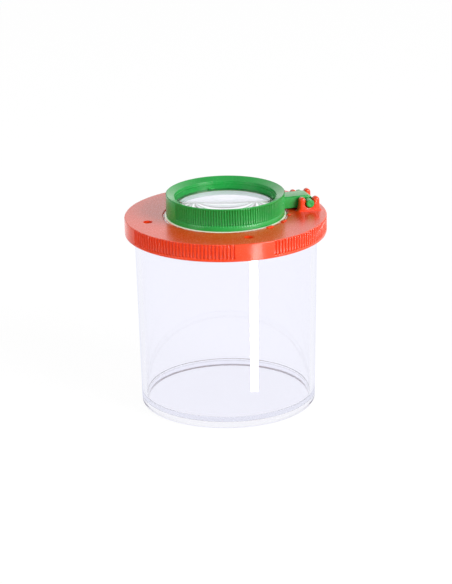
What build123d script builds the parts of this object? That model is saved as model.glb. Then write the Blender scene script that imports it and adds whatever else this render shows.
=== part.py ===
from build123d import *
from math import degrees
import os

# Magnifying jar: a clear cup, a push-on lid that carries a fixed lens, and a second lens in a
# ribbed frame that swings up on a snap hinge. Sizes are in millimetres. The origin is the centre
# of the jar's foot, +Z is up and +X points at the hinge.

# Jar
jar_height = 69.2
jar_top_radius = 33.3
jar_base_radius = 32.1
jar_wall = 1.8
foot_height = 2.4
foot_width = 2.1
foot_round = 1.2
floor_thickness = 1.8
floor_round = 1.6
bead_width = 1.0
bead_height = 3.6
bead_round = 0.4

# Lid
lid_slip = 0.2
seat_gap = 0.1
skirt_wall = 2.3
skirt_height = 6.4
plate_thickness = 2.0
lid_edge_round = 0.35
vent_holes = 3
vent_hole_radius = 1.5
vent_offset = 6.2
vent_chamfer = 0.2
lid_rib_spacing = 1.322
lid_patch_angle = 22.1
lid_rib_margin = 0.7
lid_groove_radius = 0.32
lid_groove_depth = 0.28

# Fixed lens and its seat in the lid
fixed_flange_thickness = 1.1
fixed_flange_drop = 0.15
fixed_lens_slip = 0.3
fixed_lens_sag = 1.2
seat_width = 2.2
seat_thickness = 1.5
collar_wall = 2.0
snap_lugs_per_side = 3
snap_lug_first_angle = 20.0
snap_lug_spacing = 21.5
snap_lug_width = 4.2
snap_lug_reach = 1.0
snap_lug_root = 0.7
snap_lug_height = 0.4
lug_gap = 0.05

# Flip lens
flip_lens_radius = 18.25
flip_lens_slip = 0.05
flip_flange_thickness = 0.9
flip_lens_sag = 1.3

# Lens frame
ring_wall = 3.3
ring_height = 8.3
ring_clearance = 0.2
ring_gap = 1.4
rim_land = 0.25
rim_drop = 1.2
step_width = 0.3
step_drop = 1.1
ledge_height = 3.4
ledge_thickness = 1.0
ledge_width = 1.1
lower_bore_relief = 0.7
frame_lugs = 4
frame_lug_width = 2.4
frame_lug_reach = 0.5
frame_lug_height = 0.55
frame_rib_spacing = 0.963
thumb_patch_angle = 35.0
arm_patch_angle = 38.8
frame_rib_top_margin = 0.4
frame_rib_base_margin = 1.7
frame_groove_radius = 0.26
frame_groove_depth = 0.22

# Hinge
swing_gap = 2.0
pin_radius = 1.5
pin_slip = 0.05
pin_overhang = 0.7
pin_end_round = 0.3
arm_width = 6.8
arm_thickness = 4.5
arm_lift = 0.6
arm_clearance = 0.4
clip_depth = 2.8
clip_foot_flare = 1.0
clip_foot_height = 3.0
prong_thickness = 2.3
prong_lip = 0.15
prong_head_rise = 0.95

# Angles in degrees, and how near two sizes must be to count as the same
half_turn = 180
quarter_turn = 90
quarters = 4
tolerance = 0.01

# Heights worked out from the sizes above
lid_underside = jar_height + seat_gap
lid_top = lid_underside + plate_thickness
skirt_bottom = lid_top - skirt_height
floor_top = foot_height + floor_thickness
bead_bottom = jar_height - bead_height
fixed_flange_top = lid_top - fixed_flange_drop
seat_top = fixed_flange_top - fixed_flange_thickness
seat_bottom = seat_top - seat_thickness
ring_bottom = fixed_flange_top + ring_clearance
ring_top = ring_bottom + ring_height
ledge_top = ring_bottom + ledge_height
flip_flange_top = ledge_top + flip_flange_thickness
pin_z = lid_top + arm_lift + arm_thickness / 2

# Radii worked out from the sizes above
bead_radius = jar_top_radius + bead_width
lid_bore = bead_radius + lid_slip
lid_radius = lid_bore + skirt_wall
frame_bore = flip_lens_radius + flip_lens_slip
ring_radius = frame_bore + ring_wall
ledge_radius = frame_bore - ledge_width
lower_bore = frame_bore + lower_bore_relief
recess_radius = ring_radius + ring_gap
fixed_lens_radius = recess_radius - fixed_lens_slip
opening_radius = recess_radius - seat_width
collar_radius = recess_radius + collar_wall
vent_radius = recess_radius + vent_offset

# The hinge stands where the opened frame, turned right over, just clears the lid's rim
pin_x = (lid_radius + ring_radius + swing_gap) / 2
slot_radius = pin_radius + pin_slip
clip_inner = arm_width / 2 + arm_clearance
pin_half_length = clip_inner + clip_depth + pin_overhang
prong_outer = slot_radius + prong_thickness
prong_head_radius = (prong_thickness + prong_lip) / 2
prong_head_x = prong_outer - prong_head_radius
prong_head_z = pin_z + prong_head_rise


def rib_gaps(free_angle, spacing, radius):
    """How many gaps of about this spacing fit in an angle round a ring of this radius."""
    return round(free_angle / degrees(spacing / radius))


def cap_radius(half_width, sag):
    """Radius of the ball whose cap has this half width and this height."""
    return (half_width**2 + sag**2) / (2 * sag)


def lens_outline(flange_radius, aperture_radius, flange_bottom, flange_top, sag):
    """Draw half the section of a lens that bulges both ways from a flat flange."""
    low_pole = (0, flange_bottom - sag)
    high_pole = (0, flange_top + sag)
    low_edge = (aperture_radius, flange_bottom)
    high_edge = (aperture_radius, flange_top)
    RadiusArc(low_edge, low_pole, cap_radius(aperture_radius, sag))
    Line(low_pole, high_pole)
    RadiusArc(high_pole, high_edge, cap_radius(aperture_radius, sag))
    Polyline(high_edge, (flange_radius, flange_top), (flange_radius, flange_bottom), low_edge)


# Ribs of the lid, in one run a quarter between its smooth patches
lid_rib_angle = quarter_turn - lid_patch_angle
lid_grooves = rib_gaps(lid_rib_angle, lid_rib_spacing, lid_radius)
lid_rib_pitch = lid_rib_angle / lid_grooves
lid_groove_start = (lid_patch_angle + lid_rib_pitch) / 2

# Ribs of the lens frame, in one run a side from the thumb patch to the arm
frame_rib_angle = half_turn - (thumb_patch_angle + arm_patch_angle) / 2
frame_grooves = rib_gaps(frame_rib_angle, frame_rib_spacing, ring_radius)
frame_rib_pitch = frame_rib_angle / frame_grooves
frame_groove_start = (arm_patch_angle + frame_rib_pitch) / 2

os.makedirs("parts", exist_ok=True)

# Clear cup with a foot rim, a raised floor and a bead round its mouth
wall_lean = (jar_top_radius - jar_base_radius) / bead_bottom
floor_radius = jar_base_radius + wall_lean * floor_top - jar_wall
foot_inner = jar_base_radius - foot_width
mouth_radius = jar_top_radius - jar_wall
with BuildPart() as jar:
    with BuildSketch(Plane.XZ):
        with BuildLine():
            Polyline(
                (0, foot_height),
                (foot_inner, foot_height),
                (foot_inner, 0),
                (jar_base_radius, 0),
                (jar_top_radius, bead_bottom),
                (bead_radius, bead_bottom),
                (bead_radius, jar_height),
                (mouth_radius, jar_height),
                (floor_radius, floor_top),
                (0, floor_top),
                close=True,
            )
        make_face()
    revolve(axis=Axis.Z)
    foot_edge = jar.edges().filter_by(GeomType.CIRCLE).group_by(Axis.Z)[0].sort_by(SortBy.RADIUS)[-1]
    fillet(foot_edge, radius=foot_round)
    floor_edge = jar.faces().filter_by(Axis.Z).filter_by(
        lambda face: abs(face.center().Z - floor_top) < tolerance
    )[0].edges()
    fillet(floor_edge, radius=floor_round)
    bead_edges = jar.edges().filter_by(GeomType.CIRCLE).filter_by(
        lambda edge: abs(edge.radius - bead_radius) < tolerance
    )
    fillet(bead_edges, radius=bead_round)
jar.part.label = "jar"
export_step(jar.part, "parts/jar.step")

# Lid: plate, skirt with grip ribs, seat and snap lugs for the fixed lens, vents and hinge clips
with BuildPart() as lid:
    with BuildSketch(Plane.XZ):
        with BuildLine():
            Polyline(
                (recess_radius, lid_top),
                (lid_radius, lid_top),
                (lid_radius, skirt_bottom),
                (lid_bore, skirt_bottom),
                (lid_bore, lid_underside),
                (collar_radius, lid_underside),
                (collar_radius, seat_bottom),
                (opening_radius, seat_bottom),
                (opening_radius, seat_top),
                (recess_radius, seat_top),
                close=True,
            )
        make_face()
    revolve(axis=Axis.Z)
    outer_edges = lid.edges().filter_by(GeomType.CIRCLE).filter_by(
        lambda edge: abs(edge.radius - lid_radius) < tolerance
    )
    fillet(outer_edges, radius=lid_edge_round)

    # Grooves between the ribs, with a smooth patch at each quarter
    with BuildSketch(Plane.XY.offset(skirt_bottom + lid_rib_margin)):
        for quarter in range(quarters):
            with PolarLocations(
                lid_radius + lid_groove_radius - lid_groove_depth,
                lid_grooves,
                quarter_turn * quarter + lid_groove_start,
                lid_rib_angle - lid_rib_pitch,
                endpoint=True,
            ):
                Circle(lid_groove_radius)
    extrude(amount=skirt_height - 2 * lid_rib_margin, mode=Mode.SUBTRACT)

    # Vent holes at the three quarters that the hinge leaves free
    with Locations(Plane.XY.offset(lid_top)):
        with PolarLocations(vent_radius, vent_holes, quarter_turn, half_turn, endpoint=True):
            CounterSinkHole(vent_hole_radius, vent_hole_radius + vent_chamfer, depth=plate_thickness)

    # Snap lugs that reach over the fixed lens on the hinge side
    with BuildSketch(Plane.XY.offset(fixed_flange_top + lug_gap)):
        for side in (1, -1):
            for lug in range(snap_lugs_per_side):
                angle = side * (snap_lug_first_angle + snap_lug_spacing * lug)
                with PolarLocations(recess_radius + snap_lug_root, 1, angle):
                    Rectangle(
                        snap_lug_root + snap_lug_reach,
                        snap_lug_width,
                        align=(Align.MAX, Align.CENTER),
                    )
    extrude(amount=fixed_flange_drop - lug_gap + snap_lug_height)

    # Two open snap clips: a flared foot, and two prongs whose heads close over the pin
    for side in (1, -1):
        with BuildSketch(Plane.XZ.offset(side * clip_inner)):
            with Locations((pin_x, lid_top)):
                Rectangle(2 * prong_outer, prong_head_z - lid_top, align=(Align.CENTER, Align.MIN))
                Trapezoid(
                    2 * (prong_outer + clip_foot_flare),
                    clip_foot_height,
                    Vector(clip_foot_flare, clip_foot_height).get_angle(Vector(1, 0)),
                    align=(Align.CENTER, Align.MIN),
                )
            with Locations((pin_x, pin_z)):
                Circle(slot_radius, mode=Mode.SUBTRACT)
                Rectangle(
                    2 * slot_radius,
                    prong_head_rise,
                    align=(Align.CENTER, Align.MIN),
                    mode=Mode.SUBTRACT,
                )
            with Locations((pin_x - prong_head_x, prong_head_z), (pin_x + prong_head_x, prong_head_z)):
                Circle(prong_head_radius)
        extrude(amount=side * clip_depth)
lid.part.label = "lid"
export_step(lid.part, "parts/lid.step")

# Fixed lens, which drops into the lid's seat
with BuildPart() as fixed_lens:
    with BuildSketch(Plane.XZ):
        with BuildLine():
            lens_outline(fixed_lens_radius, lower_bore, seat_top, fixed_flange_top, fixed_lens_sag)
        make_face()
    revolve(axis=Axis.Z)
fixed_lens.part.label = "fixed_lens"
export_step(fixed_lens.part, "parts/fixed_lens.step")

# Lens frame: ribbed ring with a ledge and lugs for its lens, an arm and the cross pin
bevel_foot = frame_bore + step_width
with BuildPart() as lens_frame:
    with BuildSketch(Plane.XZ):
        with Locations((pin_x, pin_z)):
            Circle(arm_thickness / 2)
            Rectangle(pin_x - frame_bore - ring_wall / 2, arm_thickness, align=(Align.MAX, Align.CENTER))
    extrude(amount=arm_width / 2, both=True)
    with BuildSketch(Plane.XZ):
        with BuildLine():
            Polyline(
                (lower_bore, ring_bottom),
                (ring_radius, ring_bottom),
                (ring_radius, ring_top - rim_land),
                (ring_radius - rim_land, ring_top),
                (bevel_foot, ring_top - rim_drop),
                (bevel_foot, ring_top - rim_drop - step_drop),
                (frame_bore, ring_top - rim_drop - step_drop),
                (frame_bore, ledge_top),
                (ledge_radius, ledge_top),
                (ledge_radius, ledge_top - ledge_thickness),
                (lower_bore, ledge_top - ledge_thickness),
                close=True,
            )
        make_face()
    revolve(axis=Axis.Z)

    # Grooves between the ribs, which leave a smooth thumb patch opposite the hinge
    with BuildSketch(Plane.XY.offset(ring_bottom + frame_rib_base_margin)):
        for side in (1, -1):
            with PolarLocations(
                ring_radius + frame_groove_radius - frame_groove_depth,
                frame_grooves,
                side * frame_groove_start,
                side * (frame_rib_angle - frame_rib_pitch),
                endpoint=True,
            ):
                Circle(frame_groove_radius)
    extrude(amount=ring_height - frame_rib_base_margin - frame_rib_top_margin, mode=Mode.SUBTRACT)

    # Lugs that hold the lens down on its ledge
    with BuildSketch(Plane.XY.offset(flip_flange_top + lug_gap)):
        with PolarLocations(frame_bore + frame_lug_reach, frame_lugs):
            Rectangle(2 * frame_lug_reach, frame_lug_width, align=(Align.MAX, Align.CENTER))
    extrude(amount=frame_lug_height)

    # Cross pin, moulded through the end of the arm
    with BuildSketch(Plane.XZ):
        with Locations((pin_x, pin_z)):
            Circle(pin_radius)
    extrude(amount=pin_half_length, both=True)
    pin_rims = lens_frame.edges().filter_by(GeomType.CIRCLE).filter_by(
        lambda edge: abs(edge.radius - pin_radius) < tolerance
    )
    fillet(pin_rims.group_by(Axis.Y)[0] + pin_rims.group_by(Axis.Y)[-1], radius=pin_end_round)
lens_frame.part.label = "lens_frame"
export_step(lens_frame.part, "parts/lens_frame.step")

# Flip lens, which snaps into the frame
with BuildPart() as flip_lens:
    with BuildSketch(Plane.XZ):
        with BuildLine():
            lens_outline(flip_lens_radius, ledge_radius, ledge_top, flip_flange_top, flip_lens_sag)
        make_face()
    revolve(axis=Axis.Z)
flip_lens.part.label = "flip_lens"
export_step(flip_lens.part, "parts/flip_lens.step")
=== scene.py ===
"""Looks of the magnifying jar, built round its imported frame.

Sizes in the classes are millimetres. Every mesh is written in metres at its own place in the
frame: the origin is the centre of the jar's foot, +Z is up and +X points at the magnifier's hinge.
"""

import logging
import math
from collections.abc import Sequence
from dataclasses import dataclass
from enum import Enum
from functools import partial

import bmesh
import bpy
from bmesh.types import BMVert, BMesh
from bpy.types import GeometryNodeTree, ID, Material, Node, NodeSocket, NodeTree, Object
from mathutils import Matrix, Vector
from mathutils.geometry import tessellate_polygon


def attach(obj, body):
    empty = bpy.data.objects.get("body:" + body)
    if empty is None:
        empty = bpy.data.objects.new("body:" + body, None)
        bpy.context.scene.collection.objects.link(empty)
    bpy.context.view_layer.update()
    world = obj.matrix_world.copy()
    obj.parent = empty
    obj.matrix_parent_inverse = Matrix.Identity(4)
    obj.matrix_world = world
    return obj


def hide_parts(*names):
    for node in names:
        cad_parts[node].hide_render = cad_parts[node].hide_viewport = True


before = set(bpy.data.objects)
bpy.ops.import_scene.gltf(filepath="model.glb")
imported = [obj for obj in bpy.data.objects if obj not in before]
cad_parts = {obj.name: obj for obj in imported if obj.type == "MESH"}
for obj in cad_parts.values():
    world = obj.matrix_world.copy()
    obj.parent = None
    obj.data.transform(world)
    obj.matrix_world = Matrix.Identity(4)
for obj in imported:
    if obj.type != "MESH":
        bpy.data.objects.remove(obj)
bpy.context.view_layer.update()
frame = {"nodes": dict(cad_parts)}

MM = 0.001
TOLERANCE = 0.001
MERGE_DISTANCE = 1e-7
FULL_TURN = 2 * math.pi
SHARP_ANGLE = math.radians(70)
WHITE = "#ffffff"

# Range that most values of a noise texture fall in
NOISE_LOW, NOISE_HIGH = 0.3, 0.7

# A ray's depth is a whole number, so this parts none from one
HALF_BOUNCE = 0.5

# Angles of the points on a quarter round
QUARTER = [math.pi / 2 * step / 6 for step in range(7)]

# Columns of one groove, as shares of the pitch from its middle
GROOVE_SHARES = (-0.5, -0.39, -0.31, -0.23, 0.0, 0.23, 0.31, 0.39)

Point = tuple[float, float]
log = logging.getLogger("magnifying_jar")


class Body(Enum):
    """Moving bodies of the frame."""

    JAR = "jar_body"
    LID = "lid_body"
    MAGNIFIER = "magnifier"


class Slot(Enum):
    """Material slots of the record."""

    JAR = "clear_polystyrene"
    LID = "lid_plastic"
    LENS = "lens_acrylic"
    FRAME = "frame_plastic"


# Nodes and colours


def linear(colour: str) -> tuple[float, float, float, float]:
    """Turn an sRGB hex colour into linear light.

    Args:
        colour: Six hex digits after a hash, such as "#26ae4b".

    Returns:
        Linear red, green, blue and an alpha of 1.
    """
    shares = [int(colour[start:start + 2], 16) / 255 for start in (1, 3, 5)]
    light = [s / 12.92 if s <= 0.04045 else ((s + 0.055) / 1.055) ** 2.4 for s in shares]
    return light[0], light[1], light[2], 1.0


def add_node(tree: NodeTree, kind: str, inputs: dict | None = None, **settings: object) -> Node:
    """Add a node with its settings, values and links; the builders below bind it to their own tree.

    Args:
        tree: Node tree that gets the node.
        kind: Blender's type name of the node.
        inputs: For each input, by name or index, its value, the output socket that it is linked
            to, or a node whose first output in use it is linked to.
        **settings: Properties of the node, such as its operation.

    Returns:
        The new node.
    """
    node = tree.nodes.new(kind)
    for name, value in settings.items():
        setattr(node, name, value)
    for key, value in (inputs or {}).items():
        if isinstance(value, Node):
            value = next(output for output in value.outputs if output.enabled)
        if isinstance(value, NodeSocket):
            tree.links.new(value, node.inputs[key])
        else:
            node.inputs[key].default_value = value
    return node


def new_material(name: str) -> Material:
    """Make an empty node material.

    Args:
        name: What the real material is and how it was made.

    Returns:
        The material, with an empty node tree.
    """
    material = bpy.data.materials.new(name)
    material.use_nodes = True
    material.node_tree.nodes.clear()
    return material


# Finishes


@dataclass(frozen=True)
class MouldedPlastic:
    """Opaque coloured ABS from a polished steel mould.

    It is glossy but not a mirror: the skin ripples softly over a few millimetres where it shrank,
    carries a very fine grain, and its pigment is a touch uneven along the flow.

    Attributes:
        name: Material name.
        colour: Pigment, as sRGB hex.
        streak: Pigment where the melt flowed last, as sRGB hex.
        roughness: Middle roughness of the skin.
        polish: How much smoother the skin is at its best.
        wear: How much rougher it is at its worst.
        ior: Refractive index of ABS.
        flow_length: Size of the pigment clouds, in millimetres.
        flow_start: Noise value from which the streak's pigment shows.
        ripple_length: Size of the shrink ripples, in millimetres.
        ripple_depth: Depth of the shrink ripples, in millimetres.
        grain_length: Size of the grain, in millimetres; the real one is too fine to show.
        grain_depth: Depth of the grain, in millimetres.
        glow: Strength of a painted glow: emission in the pigment's colour that lifts the skin as if
        lit, though it is no lamp, where 1 is white.
    """

    name: str
    colour: str
    streak: str
    roughness: float = 0.24
    polish: float = 0.03
    wear: float = 0.05
    ior: float = 1.54
    flow_length: float = 7.0
    flow_start: float = 0.35
    ripple_length: float = 5.0
    ripple_depth: float = 0.012
    grain_length: float = 0.3
    grain_depth: float = 0.0009
    glow: float = 0.0

    def build(self) -> Material:
        """Make the material.

        Returns:
            The finished material.
        """
        material = new_material(self.name)
        add = partial(add_node, material.node_tree)
        where = add("ShaderNodeTexCoord").outputs["Object"]
        clouds, ripple, grain = (
            add("ShaderNodeTexNoise", {"Vector": where, "Scale": 1 / (size * MM), "Detail": fine})
            for size, fine in ((self.flow_length, 3.0), (self.ripple_length, 1.0), (self.grain_length, 2.0))
        )
        share = add("ShaderNodeMapRange", {0: clouds, 1: self.flow_start, 2: NOISE_HIGH, 3: 0.0, 4: 1.0})
        pigment = add(
            "ShaderNodeMix", {0: share, 6: linear(self.colour), 7: linear(self.streak)},
            data_type="RGBA",
        )
        skin = add("ShaderNodeMapRange", {
            0: grain, 1: NOISE_LOW, 2: NOISE_HIGH,
            3: self.roughness - self.polish, 4: self.roughness + self.wear,
        })
        waves = add("ShaderNodeBump", {"Height": ripple, "Distance": self.ripple_depth * MM})
        surface = add(
            "ShaderNodeBump", {"Height": grain, "Distance": self.grain_depth * MM, "Normal": waves}
        )
        # The emission is a painted glow, which is off unless glow is set
        shader = add("ShaderNodeBsdfPrincipled", {
            "Base Color": pigment, "Roughness": skin, "IOR": self.ior, "Normal": surface,
            "Emission Color": linear(self.colour), "Emission Strength": self.glow,
        })
        add("ShaderNodeOutputMaterial", {"Surface": shader})
        return material


@dataclass(frozen=True)
class ClearPlastic:
    """Clear injection-moulded plastic with a polished skin.

    It shows bright streaks of the lamps, a cool tint that deepens where the eye looks along the
    wall, and faint draw lines that run the way the mould opened.

    Attributes:
        name: Material name.
        tint: Colour of the light that passes one wall, as sRGB hex.
        ior: Refractive index.
        depth_tint: Colour of the light that passes a long way inside, as sRGB hex.
        density: Absorption for each metre inside, or 0 for none.
        roughness: Roughness of the polished skin.
        haze: Share by which the roughness varies.
        ripple_length: Size of the ripples across the draw, in millimetres.
        ripple_depth: Depth of the ripples, in millimetres.
        draw_stretch: How much longer the ripples are along the draw.
    """

    name: str
    tint: str
    ior: float
    depth_tint: str = WHITE
    density: float = 0.0
    roughness: float = 0.01
    haze: float = 0.5
    ripple_length: float = 6.0
    ripple_depth: float = 0.003
    draw_stretch: float = 8.0

    def build(self) -> Material:
        """Make the material.

        Returns:
            The finished material.
        """
        material = new_material(self.name)
        add = partial(add_node, material.node_tree)
        where = add("ShaderNodeTexCoord").outputs["Object"]
        drawn = add("ShaderNodeMapping", {"Vector": where, "Scale": (1.0, 1.0, 1 / self.draw_stretch)})
        size = self.ripple_length * MM
        ripple = add("ShaderNodeTexNoise", {"Vector": drawn, "Scale": 1 / size, "Detail": 1.0})
        skin = add("ShaderNodeMapRange", {
            0: ripple, 1: NOISE_LOW, 2: NOISE_HIGH,
            3: self.roughness * (1 - self.haze), 4: self.roughness * (1 + self.haze),
        })
        surface = add("ShaderNodeBump", {"Height": ripple, "Distance": self.ripple_depth * MM})
        ends = {"Surface": add("ShaderNodeBsdfPrincipled", {
            "Base Color": linear(self.tint), "Roughness": skin, "IOR": self.ior,
            "Transmission Weight": 1.0, "Normal": surface,
        })}
        if self.density:
            ends["Volume"] = add("ShaderNodeVolumeAbsorption", {
                "Color": linear(self.depth_tint), "Density": self.density,
            })
        add("ShaderNodeOutputMaterial", ends)
        return material


@dataclass(frozen=True)
class StudioPaper:
    """White seamless paper on the floor, which takes a soft shadow.

    Attributes:
        room: Brightness of the room in reflections.
        name: Material name.
        colour: Colour of the paper, as sRGB hex.
        shade_share: How much of the paper's own shading the eye sees.
        glow: Plain white added to what the eye sees.
        lit_radius: Radius of the sheet's lit middle, which stays bright in reflections, in millimetres.
        dark_radius: Radius from which reflections show the dimmer room instead, in millimetres.
        lit_colour: Colour of the lit middle in reflections, as sRGB hex.
    """

    room: "Room"
    name: str = "matt_white_studio_paper"
    colour: str = "#ececec"
    shade_share: float = 0.12
    glow: float = 0.95
    lit_radius: float = 195.0
    dark_radius: float = 213.0
    lit_colour: str = "#e6e8f8"

    def build(self) -> Material:
        """Make the material.

        Returns:
            The finished material.
        """
        material = new_material(self.name)
        tree = material.node_tree
        add = partial(add_node, tree)
        paper = add("ShaderNodeBsdfDiffuse", {"Color": linear(self.colour)})
        where = add("ShaderNodeTexCoord").outputs["Object"]
        reach = add("ShaderNodeVectorMath", {0: where}, operation="LENGTH")
        beyond = add(
            "ShaderNodeMapRange",
            {0: reach, 1: self.lit_radius * MM, 2: self.dark_radius * MM, 3: 0.0, 4: 1.0},
            interpolation_type="SMOOTHSTEP",
        )
        sheet = add("ShaderNodeMix", {0: beyond, 2: 1.0, 3: self.room.brightness(tree, where)})
        level = add("ShaderNodeMath", {0: sheet, 1: self.glow}, operation="MULTIPLY")
        middle = add(
            "ShaderNodeMix", {0: seen_straight(tree), 6: linear(self.lit_colour), 7: linear(WHITE)},
            data_type="RGBA",
        )
        hue = add("ShaderNodeMix", {0: beyond, 6: middle, 7: linear(WHITE)}, data_type="RGBA")
        white = add("ShaderNodeEmission", {"Color": hue, "Strength": level})
        dark = add("ShaderNodeEmission", {"Strength": 0.0})
        shaded = add("ShaderNodeMixShader", {0: self.shade_share, 1: dark, 2: paper})
        seen = add("ShaderNodeAddShader", {0: shaded, 1: white})
        mixed = add("ShaderNodeMixShader", {0: seen_by_eye(tree), 1: paper, 2: seen})
        add("ShaderNodeOutputMaterial", {"Surface": mixed})
        return material


@dataclass(frozen=True)
class LampGlow:
    """Face of a lamp that only shows in reflections off the outside of the parts.

    Attributes:
        name: Material name.
        strength: Brightness, where 1 is white.
    """

    name: str = "lamp_face"
    strength: float = 22.0

    def build(self) -> Material:
        """Make the material.

        Returns:
            The finished material.
        """
        material = new_material(self.name)
        add = partial(add_node, material.node_tree)
        path = add("ShaderNodeLightPath").outputs
        mirrored = add(
            "ShaderNodeMath", {0: path["Glossy Depth"], 1: HALF_BOUNCE}, operation="GREATER_THAN"
        )
        outside = add(
            "ShaderNodeMath", {0: path["Transmission Depth"], 1: HALF_BOUNCE}, operation="LESS_THAN"
        )
        shown = add("ShaderNodeMath", {0: mirrored, 1: outside}, operation="MULTIPLY")
        clear = add("ShaderNodeBsdfTransparent")
        glow = add("ShaderNodeEmission", {"Strength": self.strength})
        mixed = add("ShaderNodeMixShader", {0: shown, 1: clear, 2: glow})
        add("ShaderNodeOutputMaterial", {"Surface": mixed})
        return material


def seen_straight(tree: NodeTree) -> Node:
    """Tell what the eye sees straight or through the clear parts from what the outsides mirror.

    Args:
        tree: Node tree of the floor's material or of the world.

    Returns:
        Node that gives 1 for the straight view and 0 for a mirror image.
    """
    add = partial(add_node, tree)
    path = add("ShaderNodeLightPath").outputs
    return add(
        "ShaderNodeMath", {0: path["Is Camera Ray"], 1: path["Transmission Depth"]},
        operation="ADD", use_clamp=True,
    )


def seen_by_eye(tree: NodeTree) -> Node:
    """Tell rays that the eye follows, straight or by gloss or glass, from rays that light things.

    Args:
        tree: Node tree of the floor's material or of the world.

    Returns:
        Node that gives 1 for the eye's rays and 0 for the others.
    """
    add = partial(add_node, tree)
    path = add("ShaderNodeLightPath").outputs
    followed = path["Is Camera Ray"]
    for other in ("Is Glossy Ray", "Is Transmission Ray"):
        followed = add("ShaderNodeMath", {0: followed, 1: path[other]}, operation="MAXIMUM")
    direct = add("ShaderNodeMath", {0: path["Diffuse Depth"], 1: HALF_BOUNCE}, operation="LESS_THAN")
    return add("ShaderNodeMath", {0: followed, 1: direct}, operation="MULTIPLY")


@dataclass(frozen=True)
class Room:
    """Brightness of the room that the glossy parts mirror, white at the bright side and the back.

    Attributes:
        bright_way: Direction of the bright side, on the floor plan.
        bright: Brightness of that side, which the backdrop's own lamps lift past white.
        dim: Brightness opposite that side.
        low: Share of the bright direction where the room is dimmest.
        high: Share of the bright direction from which the room is at its brightest.
        ceiling: Brightness straight up, as a share of that at the walls.
        ceiling_low: Sine of the height angle where the walls start to darken.
        ceiling_high: Sine of the height angle from which the ceiling is even.
    """

    bright_way: Vector
    bright: float = 1.45
    dim: float = 0.08
    low: float = -1.0
    high: float = 0.3
    ceiling: float = 0.25
    ceiling_low: float = 0.5
    ceiling_high: float = 0.9

    def overhead(self, tree: NodeTree, way: NodeSocket) -> Node:
        """Add nodes that darken the room towards its ceiling.

        Args:
            tree: Node tree of the floor's material or of the world.
            way: Direction from the jar, of any length.

        Returns:
            Node that gives the share that is left in that direction.
        """
        add = partial(add_node, tree)
        whole = add("ShaderNodeVectorMath", {0: way}, operation="NORMALIZE")
        rise = add("ShaderNodeSeparateXYZ", {0: whole}).outputs["Z"]
        return add(
            "ShaderNodeMapRange",
            {0: rise, 1: self.ceiling_low, 2: self.ceiling_high, 3: 1.0, 4: self.ceiling},
            interpolation_type="SMOOTHSTEP",
        )

    def brightness(self, tree: NodeTree, way: NodeSocket) -> Node:
        """Add nodes that give the brightness in one direction.

        Args:
            tree: Node tree of the floor's material or of the world.
            way: Direction from the jar, of any length.

        Returns:
            Node that gives what a ray sees: 1 straight or through the clear parts, less in a mirror image.
        """
        add = partial(add_node, tree)
        level = add("ShaderNodeVectorMath", {0: way, 1: (1.0, 1.0, 0.0)}, operation="MULTIPLY")
        unit = add("ShaderNodeVectorMath", {0: level}, operation="NORMALIZE")
        along = add("ShaderNodeVectorMath", {0: unit, 1: tuple(self.bright_way)}, operation="DOT_PRODUCT")
        walls = add(
            "ShaderNodeMapRange", {0: along, 1: self.low, 2: self.high, 3: self.dim, 4: self.bright},
            interpolation_type="SMOOTHSTEP",
        )
        mirror = add("ShaderNodeMath", {0: walls, 1: self.overhead(tree, way)}, operation="MULTIPLY")
        return add("ShaderNodeMix", {0: seen_straight(tree), 2: mirror, 3: 1.0})


@dataclass(frozen=True)
class Finishes:
    """Finished materials of the whole jar."""

    jar: Material
    lid: Material
    lens: Material
    rim: Material
    frame: Material

    @classmethod
    def build(cls) -> "Finishes":
        """Make every material of the jar.

        Returns:
            The materials.
        """
        return cls(
            jar=ClearPlastic(
                name="clear_polystyrene_moulded", tint="#fafaff", depth_tint="#c8cbe6", density=7.0, ior=1.59,
            ).build(),
            lid=MouldedPlastic(name="orange_red_abs_moulded", colour="#fb4814", streak="#f5420f").build(),
            lens=ClearPlastic(
                name="acrylic_lens_moulded", tint="#f8f8fd", ior=1.49,
                roughness=0.004, ripple_length=9.0, ripple_depth=0.001, draw_stretch=1.0,
            ).build(),
            # The matt rim's cream is its own colour; its glow is painted light that brightens it in the
            # ring's shade
            rim=MouldedPlastic(
                name="acrylic_lens_rim_matt", colour="#f3eee0", streak="#ece6d6", roughness=0.4, glow=0.35,
            ).build(),
            frame=MouldedPlastic(name="green_abs_moulded", colour="#26ae4b", streak="#20a345").build(),
        )


# Outlines


@dataclass(frozen=True)
class Corner:
    """One corner of an outline.

    Attributes:
        x: Place along the outline's first axis, a radius on a turned piece.
        y: Place along the outline's second axis, a height on a turned piece.
        round: Radius that rounds the corner.
    """

    x: float
    y: float
    round: float = 0.0


def arc(centre: Point, radius: float, start: float, end: float, steps: int) -> list[Point]:
    """Points along an arc, both ends included.

    Args:
        centre: Centre of the arc.
        radius: Radius of the arc.
        start: First angle, in radians.
        end: Last angle, in radians.
        steps: How many straight pieces stand for the arc.

    Returns:
        The arc's points.
    """
    turns = [start + (end - start) * step / steps for step in range(steps + 1)]
    return [(centre[0] + radius * math.cos(t), centre[1] + radius * math.sin(t)) for t in turns]


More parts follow.
